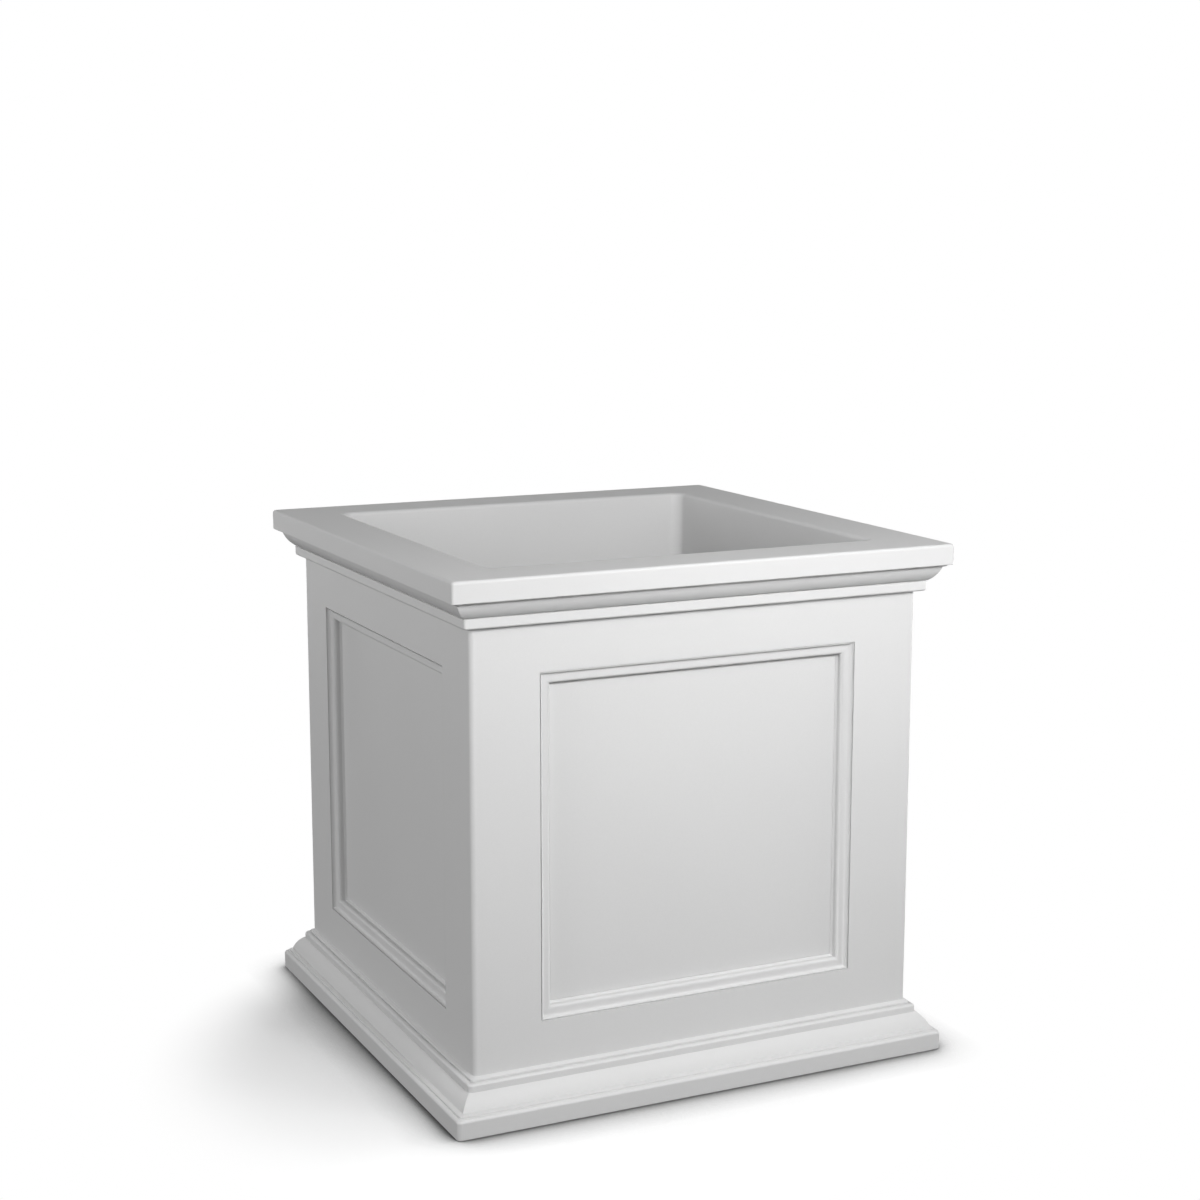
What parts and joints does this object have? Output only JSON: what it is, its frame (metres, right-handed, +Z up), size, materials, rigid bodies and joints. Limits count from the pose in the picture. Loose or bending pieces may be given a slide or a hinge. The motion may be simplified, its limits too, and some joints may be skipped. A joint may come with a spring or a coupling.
{
  "type": "planter",
  "caption": "Square moulded planter with recessed panel sides, a stepped plinth and cornice, a wide flat rim and a lift-out tub over a water reservoir.",
  "frame": {"origin": "middle of the plinth's footprint, on the floor", "axes": "+Z up, -Y the front, +X the right side as seen from the front"},
  "size_m": [0.508, 0.508, 0.5],
  "materials": {
    "shell": "light grey moulded polyethylene with a fine pebbled skin",
    "inner": "mid grey moulded plastic, satin",
    "hidden": "dark recycled plastic, matt",
    "screw": "zinc-plated pan-head screws",
    "seal": "black rubber washer"
  },
  "bodies": {
    "case": {"plinth_frame": "shell", "cornice_frame": "shell", "case_floor": "hidden", "side_panel_front": "shell", "side_panel_right": "shell", "side_panel_back": "shell", "side_panel_left": "shell", "corner_post_front_left": "hidden", "corner_post_front_right": "hidden", "corner_post_back_right": "hidden", "corner_post_back_left": "hidden", "panel_screw_front_1": "screw", "panel_screw_front_2": "screw", "panel_screw_front_3": "screw", "panel_screw_front_4": "screw", "panel_screw_right_1": "screw", "panel_screw_right_2": "screw", "panel_screw_right_3": "screw", "panel_screw_right_4": "screw", "panel_screw_back_1": "screw", "panel_screw_back_2": "screw", "panel_screw_back_3": "screw", "panel_screw_back_4": "screw", "panel_screw_left_1": "screw", "panel_screw_left_2": "screw", "panel_screw_left_3": "screw", "panel_screw_left_4": "screw", "cornice_screw_front_left": "screw", "cornice_screw_front_right": "screw", "cornice_screw_back_right": "screw", "cornice_screw_back_left": "screw", "plinth_screw_front_left": "screw", "plinth_screw_front_right": "screw", "plinth_screw_back_right": "screw", "plinth_screw_back_left": "screw"},
    "tub": {"planting_tub": "shell"},
    "platform": {"soil_platform": "inner", "wick_cup_front_left": "inner", "wick_cup_front_right": "inner", "wick_cup_back_right": "inner", "wick_cup_back_left": "inner"},
    "bung": {"drain_bung": "hidden", "bung_seal": "seal"}
  },
  "joints": [
    {"name": "tub_lift", "type": "slide", "parent": "case", "child": "tub", "axis": [0, 0, 1], "range_m": [0, 0.5]},
    {"name": "platform_lift", "type": "slide", "parent": "tub", "child": "platform", "axis": [0, 0, 1], "range_m": [0, 0.48]},
    {"name": "bung_pull", "type": "slide", "parent": "tub", "child": "bung", "axis": [0, 0, 1], "range_m": [0, 0.035]}
  ]
}
